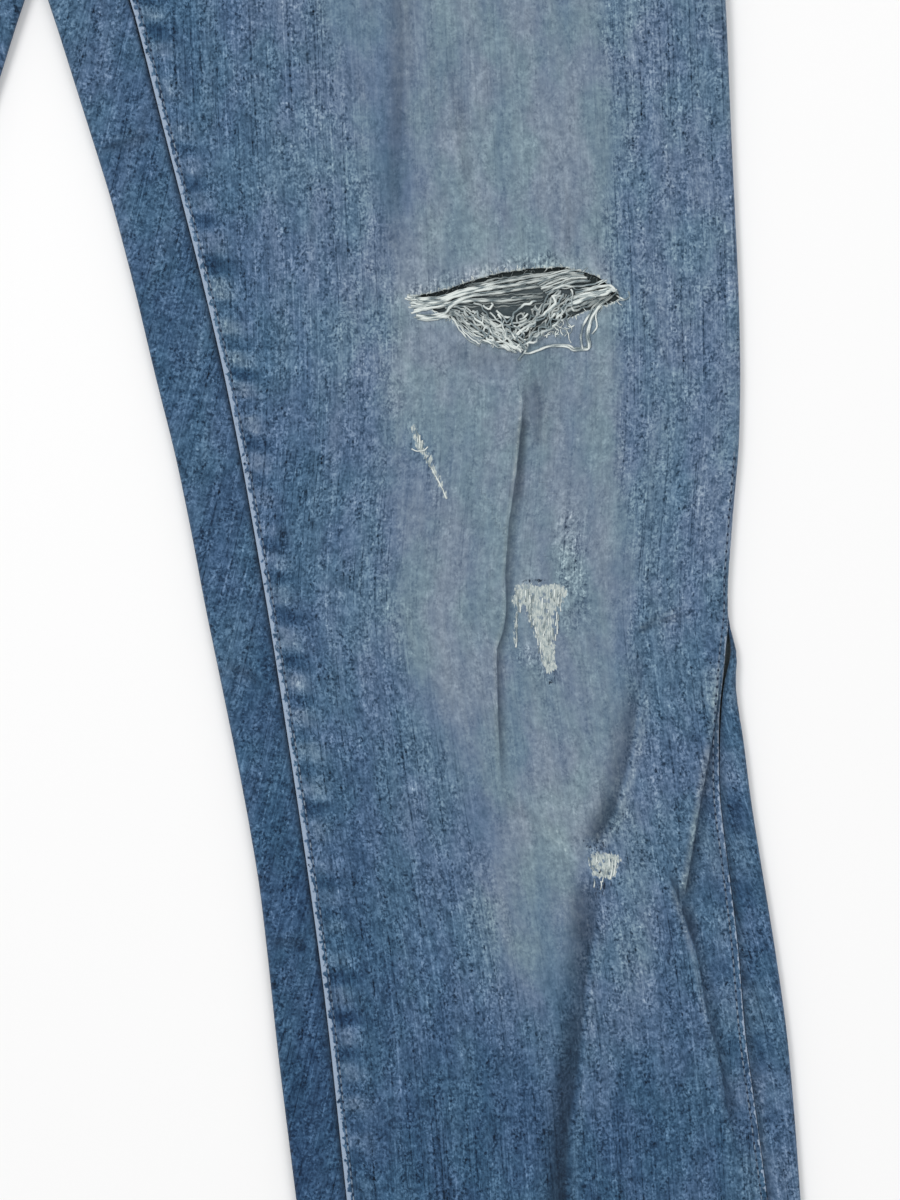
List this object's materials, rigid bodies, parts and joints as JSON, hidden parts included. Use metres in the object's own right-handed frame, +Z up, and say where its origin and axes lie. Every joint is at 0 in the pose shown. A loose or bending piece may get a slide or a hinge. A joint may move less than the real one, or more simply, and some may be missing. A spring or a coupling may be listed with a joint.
{
  "type": "ripped jeans laid flat",
  "caption": "Pair of faded denim jeans laid flat, front up, with a frayed open knee rip, worn spots, rolled inseams and knee creases; fly and waistband closed.",
  "frame": {"origin": "centre of the garment's footprint on the surface that it lies on", "axes": "+Z up out of the front of the garment, +Y towards the waist, +X towards the wearer's left leg"},
  "size_m": [0.648, 1.0672, 0.0122],
  "materials": {
    "denim": "washed indigo twill, faded along the front of the thigh and knee",
    "denim_inside": "less worn indigo twill",
    "button_metal": "satin, slightly tarnished",
    "zip_metal": "dull metal teeth on woven tape"
  },
  "bodies": {
    "root": {"front_left": "denim", "front_right": "denim", "back_left": "denim", "back_right": "denim", "yoke_left": "denim", "yoke_right": "denim", "waistband": "denim", "hem_left": "denim", "hem_right": "denim", "back_pocket_left": "denim", "back_pocket_right": "denim", "belt_loop_front_left": "denim", "belt_loop_front_right": "denim", "belt_loop_back_left": "denim", "belt_loop_back_right": "denim", "belt_loop_back_centre": "denim", "pocket_facing_left": "denim_inside", "pocket_facing_right": "denim_inside", "fly_shield": "denim_inside", "fly_zip": "zip_metal", "waist_button": "button_metal"}
  },
  "joints": []
}
